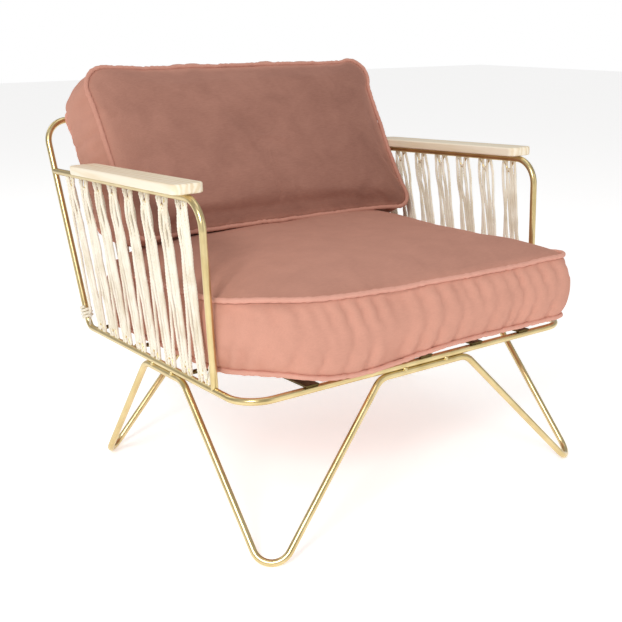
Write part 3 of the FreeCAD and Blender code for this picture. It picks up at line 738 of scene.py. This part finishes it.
# the filling sinks: fuller low down on the front, thinner at the top
flat[:, 2] += 0.006 * front_share * (np.clip(0.5 - flat[:, 1] / FACE, 0, 1) - 0.35)
x = flat[:, 0] / 0.318
y = flat[:, 1] / (FACE / 2)
flat[:, 1] += 0.006 * np.clip(y, 0, 1) ** 3 * (1 - np.abs(x) ** 2)
middle = np.array([(front_lo[0] + front_hi[0]) / 2 + 0.003, (front_lo[1] + front_hi[1]) / 2,
                   (front_lo[2] + front_hi[2]) / 2])
BACK_ORIGIN = middle - OUTWARD * THICK - LEAN * 0.006
placed_b = into_row(flat, BACK_ORIGIN, BX, LEAN, OUTWARD).reshape(rows_b, around_b, 3)
body_b, faces_b = close_form(placed_b)
back = mesh_piece("back_cushion_velvet", body_b, faces_b)
place_vertices(back, cloth_settle(back, 0.007))
co = vertices_of(back)
past_board = np.maximum(np.maximum(0.528 - co[:, 2], co[:, 2] - 0.577), co[:, 1] - 0.223)
place_vertices(back, held_in(co, 0.3205, np.clip(past_board * 0.7, 0, 0.020)))
co = vertices_of(back)
print("back cushion:", len(co), "points")

# %% [markdown]
# ### Piping
#
# Each edge of a cushion has a cord sewn into a strip of the same velvet. The
# piping follows the seam, wanders a little and puckers.

# %%
def seam_line(piece, row, around):
    """The row of points of a cushion where two panels meet."""
    return vertices_of(piece)[row * around:(row + 1) * around]


def piping(name, line, radius, outward_from, push, seed):
    """A soft tube along a closed seam, pushed away from the cushion's middle."""
    away = line - outward_from
    away = away / np.linalg.norm(away, axis=1)[:, None]
    closed = np.vstack([line, line[:1]])
    drift = smooth_noise(closed, 0.05, seed + 40, 2) * 0.0012
    drift[-1] = drift[0]
    even, _ = resample(closed + np.vstack([away, away[:1]]) * (push + drift[:, None]), 0.0035)
    even = even[:-1]
    t = np.linspace(0, 2 * math.pi, len(even), endpoint=False)
    rng = np.random.default_rng(seed)
    swell = np.zeros(len(even))
    for _ in range(8):
        swell += np.sin(int(rng.integers(60, 190)) * t + rng.uniform(0, 6.28)) * 0.035
    p, q, u = tube(even, radius * (1 + swell), sides=12, closed=True)
    return mesh_piece(name, p, q.tolist(), u)


seat_middle = vertices_of(seat).mean(0)
back_middle = vertices_of(back).mean(0)
PIPES = {
    "seat_piping_bottom": piping("piping_seat_bottom", seam_line(seat, low_seam, around), 0.0042, seat_middle, 0.0022, 1),
    "seat_piping_top": piping("piping_seat_top", seam_line(seat, high_seam, around), 0.0042, seat_middle, 0.0022, 2),
    "back_piping_rear": piping("piping_back_rear", seam_line(back, low_seam_b, around_b), 0.0040, back_middle, 0.0018, 3),
    "back_piping_front": piping("piping_back_front", seam_line(back, high_seam_b, around_b), 0.0042, back_middle, 0.0022, 4),
}
for node, pipe in PIPES.items():
    paint(pipe, LIT_PIPING_VELVET)
    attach(pipe, "seat_cushion" if node.startswith("seat") else "back_cushion")
    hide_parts(node)

# Painted light and shade: the boxing is painted lit and the back cushion's face painted in shade, with painted
# gradients over the seat's top and the back's face and the piping painted in between.
co = vertices_of(seat)
level_seat = (co - SEAT_ORIGIN) @ UP / 0.112
on_top = np.clip((level_seat - 0.98) * 12, 0, 1)
set_painted_light(seat, 0.86 - on_top * (0.30 + 0.10 * np.clip((co[:, 1] + 0.25) * 3, 0, 1)
                               - 0.10 * np.clip(-co[:, 0] * 2, -1, 1)))
co = vertices_of(back)
on_face = np.clip(((co - BACK_ORIGIN) @ OUTWARD / THICK - 0.97) * 12, 0, 1)
set_painted_light(back, 0.62 - on_face * (0.30 + 0.20 * np.clip(co[:, 0] * 1.6 + 0.4, 0, 1)))
for pipe in PIPES.values():
    set_painted_light(pipe, 0.72)
set_painted_light(PIPES["back_piping_front"], 0.42)
for piece, node in ((seat, "seat_cushion"), (back, "back_cushion")):
    finer = piece.modifiers.new("finer", "SUBSURF")
    finer.levels = 1
    finer.render_levels = 1
    paint(piece, VELVET)
    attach(piece, node)
    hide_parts(node)
print("piping:", [p.name for p in PIPES.values()])

# %% [markdown]
# ## Floor, light and camera

# %%
def plain(name, code, rough):
    s = Shader(name)
    s.feed(s.surface, {"Base Color": rgb(code), "Roughness": rough,
                       "Emission Color": rgb("#FFFFFF"), "Emission Strength": 0.46})
    return s.material


floor = mesh_piece("floor", [(-12, -12, 0), (12, -12, 0), (12, 12, 0), (-12, 12, 0)], [[0, 1, 2, 3]])
floor.data.materials.append(plain("pale floor", "#FBFAF9", 0.8))

world = bpy.data.worlds.new("soft room")
world.use_nodes = True
world.node_tree.nodes["Background"].inputs["Color"].default_value = (1, 1, 1, 1)
air = world.node_tree.nodes["Background"]
seen = world.node_tree.nodes.new("ShaderNodeLightPath")
level_of = world.node_tree.nodes.new("ShaderNodeMapRange")
level_of.inputs["To Min"].default_value = 0.46
level_of.inputs["To Max"].default_value = 1.0
world.node_tree.links.new(seen.outputs["Is Camera Ray"], level_of.inputs["Value"])
world.node_tree.links.new(level_of.outputs["Result"], air.inputs["Strength"])
bpy.context.scene.world = world


def softbox(name, place, target, size, watts, tint=(1, 1, 1)):
    """A square light at place that faces target."""
    lamp = bpy.data.lights.new(name, "AREA")
    lamp.size = size
    lamp.energy = watts
    lamp.color = tint
    holder = bpy.data.objects.new(name, lamp)
    bpy.context.scene.collection.objects.link(holder)
    holder.location = place
    way = Vector(target) - Vector(place)
    holder.rotation_euler = way.to_track_quat("-Z", "Y").to_euler()
    return holder


softbox("key", (-2.3, -1.9, 2.3), (0, 0, 0.35), 0.9, 56, (1.0, 0.985, 0.96))
softbox("fill", (1.4, -2.8, 1.3), (0, 0, 0.35), 1.8, 9)
softbox("top", (0.2, -0.1, 3.0), (0, 0, 0.35), 1.6, 8)
softbox("rim", (-1.2, 2.2, 2.4), (0, 0, 0.4), 1.4, 8)

# The camera looks down 20 degrees from the chair's right front.
YAW, PITCH, ROLL = math.radians(36.048), math.radians(-20.241), math.radians(-0.149)
forward = Vector((math.sin(YAW) * math.cos(PITCH), math.cos(YAW) * math.cos(PITCH), math.sin(PITCH)))
level = Vector((math.cos(YAW), -math.sin(YAW), 0))
upward = level.cross(forward)
right = level * math.cos(ROLL) + upward * math.sin(ROLL)
upward = upward * math.cos(ROLL) - level * math.sin(ROLL)
view = bpy.data.cameras.new("camera")
view.lens = 54.91
view.sensor_width = 36.0
view.sensor_fit = "HORIZONTAL"
view.shift_x = -0.0504
view.shift_y = 0.0935
camera = bpy.data.objects.new("camera", view)
bpy.context.scene.collection.objects.link(camera)
camera.matrix_world = Matrix((
    (right.x, upward.x, -forward.x, -0.9974),
    (right.y, upward.y, -forward.y, -1.4791),
    (right.z, upward.z, -forward.z, 0.7972),
    (0, 0, 0, 1)))
bpy.context.scene.camera = camera
bpy.context.scene.view_settings.view_transform = "Standard"

# %% [markdown]
# ## Size against the CAD model

# %%
def corners(box):
    return [[round(float(v), 5) for v in end] for end in box]
